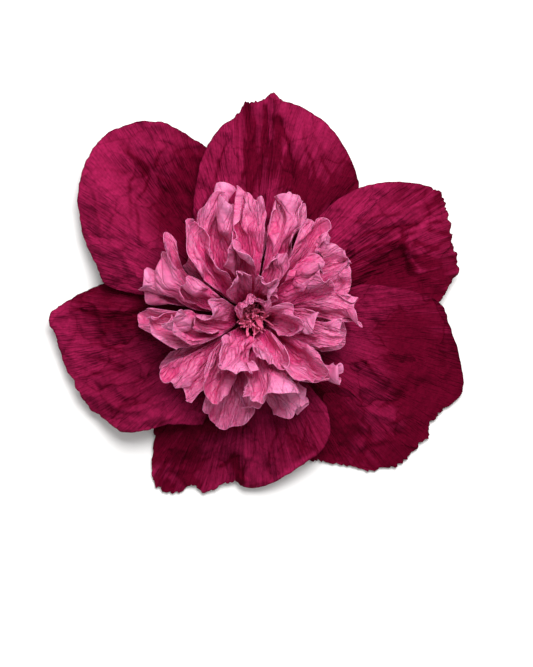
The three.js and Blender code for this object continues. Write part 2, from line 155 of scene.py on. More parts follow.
# Ways that a pink petal is crumpled, in shares of the room that its ring has
SPOON = {"cup": 1.9, "twist": 0.3, "pleat": 0.5, "ruffle": 0.9, "curl": 0.4, "billow": 0.4}
HOOD = {"cup": -0.9, "twist": 0.2, "pleat": 0.2, "ruffle": 0.4, "curl": 0.0, "billow": 0.1}
PLEATED = {"cup": 0.5, "twist": 0.5, "pleat": 1.4, "ruffle": 1.2, "curl": 0.2, "billow": 0.5}
TWISTED = {"cup": 0.6, "twist": -1.6, "pleat": 0.8, "ruffle": 1.1, "curl": 0.0, "billow": 0.6}
ROLLED = {"cup": -1.8, "twist": 0.5, "pleat": 0.6, "ruffle": 1.1, "curl": -0.6, "billow": 0.4}
CURLED = {"cup": 1.0, "twist": -0.7, "pleat": 0.7, "ruffle": 1.2, "curl": 1.4, "billow": 0.7}

# Each pink petal, ring by ring from the lowest: azimuth of its tip, how much further round its foot stands,
# reach from the middle, width, how pointed it is, and its fold
PINK_RINGS = (
    ("low_petal", (
        (128, 8, 32, 19, 0.2, TWISTED), (94, -4, 39, 22, 0.2, PLEATED), (66, -6, 46, 10, 0.1, CURLED),
        (28, 2, 40, 26, 0.0, SPOON), (-12, -4, 35, 20, 0.2, TWISTED), (-62, -4, 40, 17, 0.5, PLEATED),
        (-102, 0, 41, 22, 0.1, CURLED), (-142, 6, 35, 19, 0.1, ROLLED), (-178, 14, 42, 12, 0.5, SPOON),
        (163, 0, 40, 12, 0.3, ROLLED),
    )),
    ("spread_petal", (
        (107, 30, 45.5, 17, 0.0, PLEATED), (90, -4, 44, 17, 0.2, TWISTED), (73, -12, 42, 17, 0.3, ROLLED),
        (53, -14, 43, 20, 0.0, SPOON), (2, 18, 36.5, 14, 0.1, ROLLED), (-12, -10, 35, 15, 0.2, CURLED),
        (-29, -36, 38, 9, 0.0, TWISTED), (-92, 0, 33, 14, 0.3, PLEATED), (-134, 0, 39, 19, 0.0, SPOON),
        (-172, 20, 35, 17, 0.1, PLEATED), (138, 34, 40, 10, 0.1, ROLLED),
    )),
    ("upright_petal", (
        (122, 20, 37, 12, 0.7, SPOON), (99, -4, 28, 11, 0.4, TWISTED), (75, -20, 26, 8, 0.4, SPOON),
        (28, 6, 31, 23, 0.1, ROLLED), (-6, -4, 26, 14, 0.3, SPOON), (-36, -10, 33, 17, 0.2, PLEATED),
        (-84, 8, 31, 20, 0.1, ROLLED), (-114, -16, 31, 11, 0.3, TWISTED), (176, 30, 30, 15, 0.1, PLEATED),
        (152, 6, 27, 11, 0.3, TWISTED),
    )),
    ("heart_petal", (
        (112, 0, 17, 16, 0.1, SPOON), (58, 0, 18, 14, 0.3, SPOON), (-14, 10, 18, 18, 0.2, SPOON),
        (-98, -14, 21, 18, 0.1, ROLLED), (-64, 0, 20, 16, 0.3, TWISTED), (162, 20, 18, 17, 0.2, TWISTED),
    )),
    ("hood_petal", (
        (118, 0, 12, 13, 0.1, HOOD),
    )),
)

# Each crimson petal: azimuth, droop, rim as degrees from the middle and shares of the reach, then the
# swells of its face as place across, place along, share of the width, share of the length and height
CRIMSON_PETALS = (
    (136, 1, (
        (-38, 0.5), (-34, 0.69), (-27, 0.82), (-20, 0.935), (-9, 1), (0, 0.975), (8, 0.915), (17, 0.815),
        (26, 0.695), (32, 0.63), (33, 0.49),
    ), ((-0.15, 0.72, 0.16, 0.2, -3), (0.4, 0.6, 0.3, 0.3, 3), (0.1, 0.9, 0.25, 0.15, 2))),
    (80, 0, (
        (-38, 0.5), (-31, 0.7), (-25, 0.775), (-14, 0.87), (-3, 0.925), (2, 0.935), (4.5, 0.965),
        (7.5, 0.925), (11.5, 0.915), (14, 0.87), (20, 0.81), (26, 0.725), (33, 0.605), (41, 0.475),
    ), ((0.15, 0.7, 0.24, 0.45, -6), (0.15, 0.95, 0.12, 0.2, 4), (-0.4, 0.75, 0.3, 0.25, 4),
        (0.6, 0.6, 0.25, 0.3, 0.6))),
    (26, 0, (
        (-34, 0.5), (-29, 0.69), (-22, 0.81), (-14, 0.905), (-6, 0.93), (1, 0.955), (7, 0.965), (12, 0.92),
        (18, 0.825), (23, 0.73), (27, 0.63), (30, 0.5),
    ), ((-0.25, 0.6, 0.22, 0.14, -4), (-0.2, 0.86, 0.24, 0.13, 8), (0.5, 0.65, 0.25, 0.4, 2))),
    (-32, 6, (
        (-44, 0.5), (-37, 0.655), (-28, 0.74), (-20, 0.845), (-12, 0.915), (-4, 0.925), (4, 0.915),
        (12, 0.965), (20, 0.92), (29, 0.855), (36, 0.81), (42, 0.665), (48, 0.49),
    ), ((-0.2, 0.6, 0.28, 0.22, 4), (0.1, 0.9, 0.16, 0.12, -3), (0.55, 0.7, 0.25, 0.3, 2))),
    (-98, 6, (
        (-44, 0.5), (-36, 0.605), (-31, 0.665), (-25.5, 0.77), (-21.5, 0.84), (-17, 0.845), (-12, 0.79),
        (-6, 0.78), (1, 0.72), (7, 0.74), (16, 0.72), (25, 0.68), (34, 0.655), (42, 0.605), (48, 0.5),
    ), ((0.05, 0.86, 0.1, 0.14, -3), (0.3, 0.8, 0.18, 0.2, 3), (-0.5, 0.8, 0.3, 0.3, -1))),
    (200, 1, (
        (-42, 0.5), (-34, 0.62), (-29, 0.715), (-24, 0.81), (-20, 0.865), (-12, 0.84), (-2, 0.82),
        (8, 0.805), (15, 0.77), (22, 0.74), (28, 0.655), (34, 0.57), (46, 0.51),
    ), ((-0.3, 0.95, 0.2, 0.1, 4), (0, 0.55, 0.3, 0.25, -2), (0.6, 0.8, 0.2, 0.2, 3))),
)

# Folds pressed into the crimson petals, seen from above: from and to as x and y, half width, and height
CRIMSON_CREASES = (
    ((-36, 52, -48, 62, 1.4, 0.9), (-36, 52, -30, 62, 1.2, 0.8), (-36, 52, -42, 40, 1.4, -0.8),
     (-36, 52, -26, 46, 1.5, 0.9), (-36, 52, -46, 48, 1.3, -0.7), (-42, 42, -40, 24, 1.8, 0.9)),
    ((6, 78, 3, 44, 1.6, -2.2), (10, 74, 17, 44, 2.0, -2.0), (2, 72, -4, 46, 1.8, 1.6),
     (18, 68, 26, 42, 1.6, 0.9), (-8, 66, -14, 46, 1.5, -0.9), (24, 60, 30, 46, 1.4, -0.8)),
    ((32, 33, 66, 40, 1.0, 0.8), (34, 28, 64, 34, 1.0, -0.7), (34, 22, 58, 28, 1.1, 0.8),
     (53, 29, 61, 33, 1.4, -1.2), (61, 33, 70, 33, 1.2, -0.8), (53, 28, 58, 12, 1.4, -1.4),
     (58, 12, 69, 8, 1.2, -0.8), (57, 28, 56.2, 21, 1.0, 1.2), (56.2, 21, 61, 15.5, 1.0, 1.2),
     (61, 15.5, 69, 13, 1.0, 1.0)),
    ((52, 6, 64, -16, 2.2, -1.4), (48, -40, 68, -30, 1.8, 1.2), (44, -34, 66, -22, 1.6, -1.0),
     (38, -14, 50, -26, 1.6, 0.8), (30, -30, 44, -46, 1.4, -0.7)),
    ((-13, -55, -2, -50, 1.6, -1.4), (-2, -50, -4, -59, 1.2, -1.2), (10, -38, 6, -56, 1.4, 0.7),
     (20, -36, 18, -52, 1.4, -0.7), (-20, -46, -26, -58, 1.8, -0.9)),
    ((-36, -41, -22, -32, 1.4, 0.9), (-22, -32, -13, -36, 1.4, 0.8), (-66, 4, -50, -2, 1.8, -0.7),
     (-64, -10, -46, -12, 1.8, 0.7), (-60, -20, -44, -20, 1.6, -0.6)),
)

# Torn and frayed stretches of the crimson rims: from and to across, and how deep the tears go
CRIMSON_TEARS = (
    (-1, 1, 0.5), (0.0, 0.4, 1.2), (-0.75, 0.15, 1.7), (-0.75, 0.0, 2.2), (-0.7, 0.2, 1.8),
    (-0.7, 0.3, 0.9),
)

# Where the fibres of the crimson paper, which run straight out from the middle, lie at their true pitch
FIBRE_RADIUS = 60

# How hard the paper of each ring of pink petals was crumpled, from the lowest ring to the hood
PINK_CRUMPLES = (1.2, 1.4, 1.4, 1.1, 0.2)

# How much of its crumple a pink petal loses where the next ring presses on it, where past that ring's
# petals the pressing begins and ends to fade, at their sides and tips, and how far the paper may bend down
# and up
PRESSED_FLAT = 0.8
PRESSED_SIDES = (1, 5)
PRESSED_TIPS = (0, 4)
BEND_DOWN, BEND_UP = 2, 7

# How pale each ring of pink petals was dyed, from the lowest ring to the hood
PINK_TONES = (-0.78, -0.78, -0.78, -0.62, -0.5)

# How pale each crimson petal is painted: its dye, with painted light and shade for how much light falls on
# it
CRIMSON_TONES_AND_SHADING = (0.69, 0.75, 0.75, 0.38, 0.82, 0.71)

# How much paler each crimson petal is painted towards its rim, darker where below 0: painted light and
# shade for how the petal droops towards and away from the light
CRIMSON_RIM_SHADING = (1.0, 0.0, -1.6, -1.6, -0.4, 0.2)

# Where each crimson petal is painted darker, as painted shade along a fold and painted shadow, and painted
# lighter where the depth is below 0, seen from above: from and to as x and y, half width and depth
CRIMSON_PAINTED_SHADING = (
    ((-31, 36, -27, 40, 8, 0.4), (-46, 62, -38, 53, 1.8, 0.6), (-36, 53.5, -32, 47, 1.2, -0.4),
     (-44, 47, -43, 36, 0.8, 0.5), (-61, 53.5, -45, 52, 0.7, 0.4), (-55, 40, -43, 26, 0.7, 0.4),
     (-50, 56, -47, 42, 5, -0.2)),
    ((-0.5, 76, -0.5, 46, 2.2, 0.7), (2.3, 75, 2.5, 60, 1.2, -0.3), (5, 76, 6, 58, 0.9, 0.8),
     (6.8, 76, 7.6, 64, 1.1, -0.6), (9.5, 71, 9, 58, 2, 0.9), (12, 53, 19, 43, 6.5, 0.9),
     (8, 60, 21, 47.5, 0.9, 0.5), (26, 60, 28, 54, 7, -0.3)),
    ((47, 12, 54, 22, 5, 0.5), (54.7, 28.8, 64, 31, 0.9, 0.6), (64, 31, 72, 29, 0.9, 0.5),
     (54.7, 28.8, 54.7, 19, 1, 0.7), (54.7, 19, 62, 13, 1, 0.6), (61, 34.6, 69, 44, 1.4, 0.4),
     (56.8, 28, 56.2, 22, 1.1, -0.7), (56.2, 22, 60, 16.5, 1.1, -0.7), (60, 16.5, 67, 13.5, 1.1, -0.6),
     (59, 26.5, 67, 24, 0.8, 0.5), (59, 21, 68, 18.5, 0.8, 0.45), (61, 23.5, 66, 22, 1.2, -0.4)),
    ((48, -2, 54, -8, 10, 0.4), (69, -29, 71, -31, 1.8, 0.9), (59, -42, 63, -44, 1.8, 0.5),
     (60, -30, 62, -36, 7, 0.4)),
    ((-12, -46, -9, -49, 7, -0.4), (10, -44, 22, -43, 9, 0.5), (-6, -51, -3.5, -59, 1.8, 1.0),
     (-24, -58, -20, -61, 2, 0.8), (-33, -60, -30, -62, 2.5, 0.9), (-34, -39, -17, -39.5, 2, 0.6),
     (5, -62, 23, -49, 0.9, -0.6), (0, -55, 4, -58, 3.5, -0.3)),
    ((-46, -26, -42, -24, 10, 0.2), (-60, -14, -46, -18, 0.8, 0.4), (-50, -34, -36, -30, 0.8, 0.4)),
)

# How strong the long ridges are that run out from the middle of each crimson petal, and how strongly their
# crests are painted lighter as a painted highlight
CRIMSON_RIDGES = (0.3, 0.9, 1.2, 0.4, 1.0, 0.4)

# The step, in shares of a sheet, that its slope is measured over
SLOPE_STEP = 0.01

seat_height = DISC_THICKNESS + GLUE_GAP
foot_pitch = PAPER + GLUE_GAP
ring_count = len(PINK_RINGS)
crimson_pitch = 360 / len(CRIMSON_PETALS)


def linear(hex_colour):
    """The linear red, green and blue of an sRGB hex colour."""
    parts = [int(hex_colour[i:i + 2], 16) / 255 for i in (1, 3, 5)]
    return tuple(c / 12.92 if c <= 0.04045 else ((c + 0.055) / 1.055) ** 2.4 for c in parts)


class CamelliaSizes(bpy.types.PropertyGroup):
    """Sizes of the finished paper that a user may change."""

    paper: bpy.props.FloatProperty(
        name="Paper", description="Thickness of the petal paper", default=0.25 * MM, unit="LENGTH",
        precision=5)
    crinkle: bpy.props.FloatProperty(
        name="Crinkle", description="Height of the fine crinkles in the crimson paper", default=0.22 * MM,
        unit="LENGTH", precision=5)
    rim_roll: bpy.props.FloatProperty(
        name="Rim roll", description="How far the rims of the pink petals roll up or down",
        default=2.8 * MM, unit="LENGTH", precision=5)
    filament: bpy.props.FloatProperty(
        name="Stamen width", description="Width of one cut finger of the fringe", default=0.8 * MM,
        unit="LENGTH", precision=5)
    filament_count: bpy.props.IntProperty(
        name="Stamens", description="How many fingers the fringe is cut into", default=90, min=8)


class CamelliaColours(bpy.types.PropertyGroup):
    """Colours of the papers, the card and the table."""

    crimson: bpy.props.FloatVectorProperty(
        name="Crimson paper", description="Dye of the outer petals", subtype="COLOR",
        default=linear("#7B0D36"), min=0, max=1)
    pink: bpy.props.FloatVectorProperty(
        name="Pink paper", description="Dye of the pompom's petals", subtype="COLOR",
        default=linear("#BE4E81"), min=0, max=1)
    stamen: bpy.props.FloatVectorProperty(
        name="Stamen paper", description="Dye of the rolled fringe", subtype="COLOR",
        default=linear("#C24E74"), min=0, max=1)
    card: bpy.props.FloatVectorProperty(
        name="Backing card", description="Colour of the card disc", subtype="COLOR",
        default=linear("#7A1038"), min=0, max=1)
    table: bpy.props.FloatVectorProperty(
        name="Table", description="Colour of the table top", subtype="COLOR",
        default=linear("#F6F5F4"), min=0, max=1)


def smooth(value, low, high):
    """0 below low, 1 above high and a soft step between."""
    share = np.clip((value - low) / (high - low), 0, 1)
    return share * share * (3 - 2 * share)


def lerp(first, second, share):
    return first + (second - first) * share


def soft_limit(value, low, high):
    """Bends a value smoothly so that it stays between -low and high."""
    return np.where(value < 0, low * np.tanh(value / low), high * np.tanh(value / high))


def soft_min(first, second):
    """The smaller of two lengths, with a rounded change from one to the other."""
    return first / (1 + (first / second) ** 4) ** 0.25


def paper_noise(u, v, seed):
    """Smooth noise between about -1 and 1 over a sheet, with swells one unit of u and v across."""
    u, v = np.broadcast_arrays(np.asarray(u, float), np.asarray(v, float))
    cell_u, cell_v = np.floor(u), np.floor(v)
    total = np.zeros(u.shape)
    for i in (0, 1):
        for j in (0, 1):
            mixed = np.sin((cell_u + i) * 12.9898 + (cell_v + j) * 78.233 + seed * 3.7) * 43758.5453
            angle = 2 * np.pi * (mixed - np.floor(mixed))
            du, dv = u - cell_u - i, v - cell_v - j
            wu, wv = 1 - np.abs(du), 1 - np.abs(dv)
            fade = (wu ** 3 * (wu * (6 * wu - 15) + 10)) * (wv ** 3 * (wv * (6 * wv - 15) + 10))
            total += fade * (np.cos(angle) * du + np.sin(angle) * dv)
    return 1.5 * total


def creased_noise(u, v, seed):
    """Noise with sharp ridges, as in paper that was crushed and opened again: between about -1 and 1."""
    return 1 - 2.6 * np.abs(paper_noise(u, v, seed))


def layer_curve(layer):
    """How a layer of the pompom stands: 0 is under the lowest ring, ring_count inside the innermost."""
    elevation = np.radians(lerp(LOWEST_ELEVATION, HIGHEST_ELEVATION, layer / ring_count))
    foot_radius = HEART_RADIUS + GLUE_GAP + PAPER / 2 + (ring_count - 0.5 - layer) * foot_pitch
    return elevation, foot_radius, NECK_HEIGHT + layer * NECK_STEP, np.maximum(0, np.pi / 2 - elevation)


def layer_point(layer, length):
    """Radius and height of the point of a pompom layer that is a length along the paper from its foot."""
    elevation, foot_radius, neck, turn = layer_curve(layer)
    turned = np.clip((length - neck) / BEND_RADIUS, 0, turn)
    drooped = elevation - np.maximum(0, length - neck - BEND_RADIUS * turn) / DROOP_RADIUS
    radius = foot_radius + BEND_RADIUS * (1 - np.cos(turned)) + DROOP_RADIUS * (
        np.sin(elevation) - np.sin(drooped))
    height = seat_height + np.minimum(length, neck) + BEND_RADIUS * np.sin(turned) + DROOP_RADIUS * (
        np.cos(drooped) - np.cos(elevation))
    return radius, height


def length_to(layer, reach):
    """The length of paper that takes a layer's tip to a reach from the middle."""
    elevation, foot_radius, neck, turn = layer_curve(layer)
    bent = foot_radius + BEND_RADIUS * (1 - math.cos(turn))
    drooped = math.asin(math.sin(elevation) - (reach - bent) / DROOP_RADIUS)
    return neck + BEND_RADIUS * turn + DROOP_RADIUS * (elevation - drooped)


def pompom_point(radius, azimuth, height):
    """Places a point of the pompom, with the heave that all rings share."""
    heave = HEAVE_HEIGHT * (radius / POMPOM_RADIUS) ** 2 * np.sin(3 * azimuth + 0.7)
    return np.stack([radius * np.cos(azimuth), radius * np.sin(azimuth), height + heave], axis=-1)


def pink_surface(petals, index, ring):
    """The middle of one crumpled pink petal as a function of the places across and along it."""
    azimuth, _, reach, width, point, fold = petals[index]
    phase = 5 * math.radians(azimuth)
    seed = 10 * ring + index
    middle_layer = ring + 0.5
    neck = NECK_HEIGHT + middle_layer * NECK_STEP
    band = (1 - RING_CLEARANCE) / 2
    length = length_to(middle_layer, reach)

    def azimuth_at(petal, radius):
        tip_azimuth, foot_turn = petal[:2]
        return np.radians(tip_azimuth + foot_turn * (1 - radius / POMPOM_RADIUS))

    def room_at(side, radius):
        """Half the way to the next petal of the ring on one side."""
        room = np.full_like(radius, 2 * np.pi)
        for i, petal in enumerate(petals):
            if i != index:
                turn = azimuth_at(petal, radius) - azimuth_at(petals[index], radius)
                room = np.minimum(room, side * turn % (2 * np.pi))
        return radius * room / 2 - PAPER / 2 - GLUE_GAP

    def covered_at(radius, sideways):
        """1 where a petal of the next ring lies over this one, and 0 where nothing is over it."""
        covered = np.zeros_like(radius)
        next_ring = PINK_RINGS[ring + 1][1] if ring + 1 < ring_count else ()
        for petal in next_ring:
            tip, half_width = petal[2], petal[3] / 2
            turn = azimuth_at(petal, radius) - azimuth_at(petals[index], radius) - sideways / radius
            apart = radius * np.abs((turn + np.pi) % (2 * np.pi) - np.pi)
            beside = smooth(apart, half_width + PRESSED_SIDES[0], half_width + PRESSED_SIDES[1])
            beyond = smooth(radius, tip + PRESSED_TIPS[0], tip + PRESSED_TIPS[1])
            covered = np.maximum(covered, (1 - beside) * (1 - beyond))
        return covered

    def surface(across, along):
        tip_shape = lerp(0.06, 0.3, point) * np.abs(across) ** lerp(4, 1.6, point)
        tip_fray = 0.06 * paper_noise(2 * across, 0.5, seed + 0.3)
        paper_length = along * length * (1 - tip_shape - TIP_WAVE * np.sin(4 * across + phase) - tip_fray)
        belly = smooth(along, 0, 0.6) - 0.15 * smooth(along, 0.8, 1)
        u = across * lerp(PINK_FOOT_WIDTH, width, belly) / 2 + 0.25 * paper_length * math.sin(7 * seed)
        crumple = (
            fold["cup"] * (across * across - 0.3)
            + fold["twist"] * across
            + fold["pleat"] * np.sin(3.4 * across + phase + 2.5 * along)
            + fold["ruffle"] * across * across * np.sin(11 * along + 2 * phase + 1.5 * across)
            + fold["curl"] * along ** 3
            + fold["billow"] * np.sin(5 * along + 3 * phase)
            + 0.7 * paper_noise(u / 7, paper_length / 13, seed + 0.5)
            + 0.22 * creased_noise(u / 5, paper_length / 20, seed + 0.7)
        )
        opened = smooth(paper_length, neck, neck + CRUMPLE_REACH)
        lift = soft_limit(crumple / 2, band, band)
        layer = middle_layer + opened * lift
        radius, height = layer_point(layer, paper_length)
        wave = 1 + EDGE_WAVE * belly * np.sin(9 * along + phase + 2 * across)
        wave = wave + 0.12 * belly * paper_noise(7 * along, np.sign(across) * 3.3, seed)
        half_width = wave * lerp(PINK_FOOT_WIDTH, width, belly) / 2
        left_room, right_room = room_at(1, radius), room_at(-1, radius)
        left, right = soft_min(half_width, left_room), soft_min(half_width, right_room)
        sway = LEAN_SHARE * belly * np.sin(4 * along + 2 * phase)
        shift = sway * np.where(sway > 0, left_room - left, right_room - right)
        shift = soft_limit(shift, PINK_SWAY, PINK_SWAY)
        sideways = shift + across * np.where(across > 0, left, right)
        place = pompom_point(radius, azimuth_at(petals[index], radius) + sideways / radius, height)
        if fold is HOOD:
            # The hood's upper half bends in over the stamens
            over = smooth(along, 0.45, 1) ** 2
            turn = math.radians(azimuth)
            place = place - over[:, None] * np.array([
                HOOD_REACH * math.cos(turn), HOOD_REACH * math.sin(turn), HOOD_DIP])
        rim = np.minimum((1 - np.abs(across)) * np.where(across > 0, left, right), (1 - along) * length)
        room = opened * (1 - PRESSED_FLAT * covered_at(radius, sideways))
        return place, sideways, paper_length, rim, room, lift / band

    return surface


def crimson_surface(petal, creases, tears, index):
    """The middle of one crimson petal as a function of the places across and along it."""
    azimuth, droop, rim_points, swells = petal
    rim_points = np.array(rim_points, float)
    foot_radius = HEART_RADIUS + GLUE_GAP + PAPER / 2 + ring_count * foot_pitch
    foot_height = seat_height + PAPER / 2

    def rim_at(across):
        """A smooth curve through the rim's points."""
        last = len(rim_points) - 1
        place = np.clip((across + 1) / 2 * last, 0, last)
        start = np.minimum(np.floor(place).astype(int), last - 1)
        t = (place - start)[..., None]
        p = [rim_points[np.clip(start + k, 0, last)] for k in (-1, 0, 1, 2)]
        v0, v1 = (p[2] - p[0]) / 2, (p[3] - p[1]) / 2
        curve = (2 * p[1] - 2 * p[2] + v0 + v1) * t ** 3
        curve = curve + (3 * p[2] - 3 * p[1] - 2 * v0 - v1) * t ** 2 + v0 * t + p[1]
        return curve[..., 0], curve[..., 1]

    def surface(across, along):
        rim_offset, rim_reach = rim_at(across)
        torn = smooth(across, tears[0] - 0.1, tears[0]) * (1 - smooth(across, tears[1], tears[1] + 0.1))
        nicks = np.abs(paper_noise(38 * across, 2.5, index))
        tear = 0.5 * paper_noise(16 * across, 1.5, index) - 0.6 * nicks
        fray = 0.25 * paper_noise(30 * across, 0.5, index) + torn * tears[2] * tear
        reach = rim_reach * CRIMSON_RADIUS + CRIMSON_FRAY * fray
        radius = lerp(foot_radius, reach, along)
        offset = rim_offset * lerp(CRIMSON_FOOT_SPREAD, 1, smooth(along, 0, 0.7))
        outward = (radius - foot_radius) / (CRIMSON_RADIUS - foot_radius)
        lap = lerp(foot_pitch, CRIMSON_LAP, outward)
        rise = CRIMSON_RISE * np.sin(np.pi / 2 * np.minimum(1, outward / CRIMSON_CREST))
        fall = CRIMSON_FALL * smooth(outward, CRIMSON_CREST, 1)
        base = foot_height + lap * offset / crimson_pitch + rise - fall
        angle = np.radians(azimuth + offset)
        x, y = radius * np.cos(angle), radius * np.sin(angle)
        relief = -droop * along * along
        for a, b, wide, long, height in swells:
            relief = relief + height * np.exp(-((across - a) / wide) ** 2 - ((along - b) / long) ** 2)
        u, v = np.radians(offset) * radius, radius
        bent = 1.5 * paper_noise(u / 6, v / 8, index + 0.5)
        shade = np.zeros_like(relief)
        for x0, y0, x1, y1, half_width, height in creases:
            run = np.array([x1 - x0, y1 - y0])
            share = np.clip(((x - x0) * run[0] + (y - y0) * run[1]) / (run @ run), 0, 1)
            sideways = ((x - x0) * run[1] - (y - y0) * run[0]) / math.hypot(*run)
            apart = np.abs(sideways + bent * np.sin(np.pi * share))
            ends = smooth(share, 0, CREASE_END) * (1 - smooth(share, 1 - CREASE_END, 1))
            relief = relief + CREASE_RISE * height * ends * np.exp(-apart / (CREASE_SPREAD * half_width))
            # Painted shade: a dark line along each fold, taken off the last value that the tone reads
            shade = shade + abs(height) * ends * np.exp(-((apart / CREASE_LINE) ** 2))
        fold_u, fold_v = u / CRIMSON_FOLD_WIDTH, v / CRIMSON_FOLD_WIDTH
        folds = creased_noise(fold_u / 0.75, fold_v / 1.5, index)
        folds = folds + paper_noise(fold_u, fold_v / 1.25, index)
        folds = folds + creased_noise(fold_u + fold_v, fold_v - fold_u, index + 0.3)
        relief = relief + CRIMSON_FOLD_HEIGHT * folds * smooth(along, 0.1, 0.4)
        lap_room = lap / 3 - PAPER / 2
        headroom = lerp(lap_room, CRIMSON_HEADROOM, smooth(across, -0.55, -0.2))
        legroom = lerp(base - TABLE_CLEARANCE - PAPER / 2, lap_room, smooth(across, 0.2, 0.55))
        lift = soft_limit(relief * smooth(along, 0, 0.4), legroom, headroom)
        rim = np.minimum((1 - np.abs(across)) * reach * 0.6, (1 - along) * reach)
        fibre_turn = np.radians(offset) * FIBRE_RADIUS
        room = np.minimum(1, 0.2 * lap)
        place = np.stack([x, y, base + lift], axis=-1)
        # The last value is the relief less the painted crease shade; the tone paints the paper darker where
        # it is low
        return place, fibre_turn, v, rim, room, lift - CREASE_SHADE * shade

    return surface


def crushed_creases(azimuth, index):
    """Short folds scattered over a crimson petal, as crushing it in the hand leaves them."""
    chance = np.random.default_rng(index)
    creases = []
    for _ in range(CRUSH_COUNT):
        turn = math.radians(azimuth + chance.uniform(*CRUSH_TURN))
        reach = chance.uniform(*CRUSH_REACH)
        heading = turn + chance.normal(0, CRUSH_SCATTER)
        x, y = reach * math.cos(turn), reach * math.sin(turn)
        run = chance.uniform(*CRUSH_RUN)
        creases.append((
            x, y, x + run * math.cos(heading), y + run * math.sin(heading),
            chance.uniform(*CRUSH_HALF_WIDTH), chance.choice((-1, 1)) * chance.uniform(*CRUSH_HEIGHT)))
    return tuple(creases)


def crimson_crumple(index, crinkle):
    """How far the paper of one crimson petal leaves its smooth surface, in millimetres."""

    def crumple(across, along, u, v):
        fine = creased_noise((u + 0.6 * v) / 5, (v - 0.6 * u) / 7, index + 20)
        fine = fine + 0.6 * paper_noise((u - 0.5 * v) / 2.5, (v + 0.5 * u) / 4, index + 40)
        fine = fine + CRIMSON_RIDGES[index] * long_ridges(u, v, index)
        return crinkle * fine * smooth(along, 0.1, 0.3)

    return crumple


def long_ridges(u, v, index):
    """The narrow ridges that run out from the middle of one crimson petal."""
    return creased_noise(u / CRIMSON_RIDGE_WIDTH, v / CRIMSON_RIDGE_LENGTH, index + 80)


def crimson_tone(index):
    """How pale one crimson petal is painted: its dye, with a painted shadow beside the petal that laps over
    it, painted shade in its folds and hollows, and painted light on its ridges and raised parts.
    """
    azimuth = CRIMSON_PETALS[index][0]
    lapping_azimuth, _, lapping_rim, _ = CRIMSON_PETALS[(index + 1) % len(CRIMSON_PETALS)]
    lapping_rim = np.array(lapping_rim)
    lap_edge = lapping_rim[np.argmax(lapping_rim[:, 1]):][::-1]
    lap_reach = np.maximum.accumulate(lap_edge[:, 1])
    lap_turn = (lapping_azimuth - azimuth + 180) % 360 - 180

    def tone(along, u, v, lift, crumpled):
        # Painted shadow that the lapping petal casts, fading out over 32 degrees from its edge
        edge = lap_turn + np.interp(v / CRIMSON_RADIUS, lap_reach, lap_edge[:, 0])
        painted_lap_shadow = 1 - smooth(np.degrees(u / FIBRE_RADIUS), edge, edge + 32)
        # Painted light and shade towards the rim, for how the petal droops towards and away from the light
        rim_shading = CRIMSON_RIM_SHADING[index] * (v / CRIMSON_RADIUS - 0.6)
        marks = 0.3 * paper_noise(u / 25, v / 25, index + 60)
        # Painted highlight along the crests of the long ridges, and painted shade between them
        wear_and_highlight = smooth(long_ridges(u, v, index), 0.4, 1)
        marks = marks + 0.5 * CRIMSON_RIDGES[index] * (wear_and_highlight - 0.4)
        turn = math.radians(azimuth) + u / FIBRE_RADIUS
        place = np.stack([v * np.cos(turn), v * np.sin(turn)], axis=-1)
        # Painted shade along the folds and painted shadows, and painted light where the depth is below 0
        for x0, y0, x1, y1, half_width, depth in CRIMSON_PAINTED_SHADING[index]:
            begin, run = np.array([x0, y0]), np.array([x1 - x0, y1 - y0])
            share = np.clip((place - begin) @ run / (run @ run), 0, 1)
            apart = np.linalg.norm(place - begin - share[:, None] * run, axis=1) / half_width
            marks = marks - depth * np.exp(-apart ** 3)
        # The lift paints hollows and crease lines darker and raised parts lighter, as painted shade and
        # light
        return CRIMSON_TONES_AND_SHADING[index] - 1.1 * painted_lap_shadow + rim_shading + 0.1 * lift + marks

    return tone


def pink_crumple(ring, index, rim_roll):
    """How far the paper of one pink petal leaves its smooth surface, in millimetres."""
    seed = 10 * ring + index
    ridge_height = math.copysign(PINK_RIDGE_HEIGHT, math.sin(5.3 * seed - 0.8))
    curl_height = math.copysign(PINK_CURL_HEIGHT, math.sin(2.7 * seed + 1))

    def crumple(across, along, u, v):
        side = np.where(across > 0, 1.0, -1.0)
        edge = smooth(np.abs(across), 0.35, 1) * smooth(along, 0.2, 0.5)
        roll = rim_roll * edge * paper_noise(v / 8, 2.2 * side, seed + 0.15)
        skew = 0.5 * math.sin(3.1 * seed) * v
        folds = PINK_FOLD_HEIGHT * creased_noise((u + 0.4 * skew) / 5.5, v / 22, seed + 0.4)
        folds = folds + PINK_FOLD_HEIGHT * paper_noise((u - skew) / 7, v / 10, seed + 0.2)
        fine = PINK_CREASE_HEIGHT * creased_noise(u / 2.4, v / 9, seed + 0.8)
        fine = fine + PINK_CRINKLE_HEIGHT * paper_noise(u / 1.6, v / 6, seed + 0.6)
        ridge_line = 2.5 * paper_noise(v / 12, 0.5, seed + 0.1)
        ridge = ridge_height * (0.6 - np.minimum(1.4, np.abs(u - ridge_line) / PINK_RIDGE_WIDTH))
        curl = curl_height * along ** 6
        bend = PINK_CRUMPLES[ring] * (roll + folds + ridge + curl)
        return soft_limit(bend, BEND_DOWN, BEND_UP) + fine

    return crumple


def pink_tone(ring, index):
    """How pale one pink petal is painted: its dye and clouds, with painted shade towards its foot and in
    its hollows, and painted light towards its tip and on its raised folds.
    """
    seed = 10 * ring + index

    def tone(along, u, v, lift, crumpled):
        clouds = 0.2 * paper_noise(u / 9, v / 12, seed + 0.9)
        # Painted shade and light: darker towards the foot and in the hollows, lighter towards the tip and
        # on the raised folds
        return PINK_TONES[ring] + 1.35 * along + 0.1 * lift + 0.08 * crumpled + clouds

    return tone


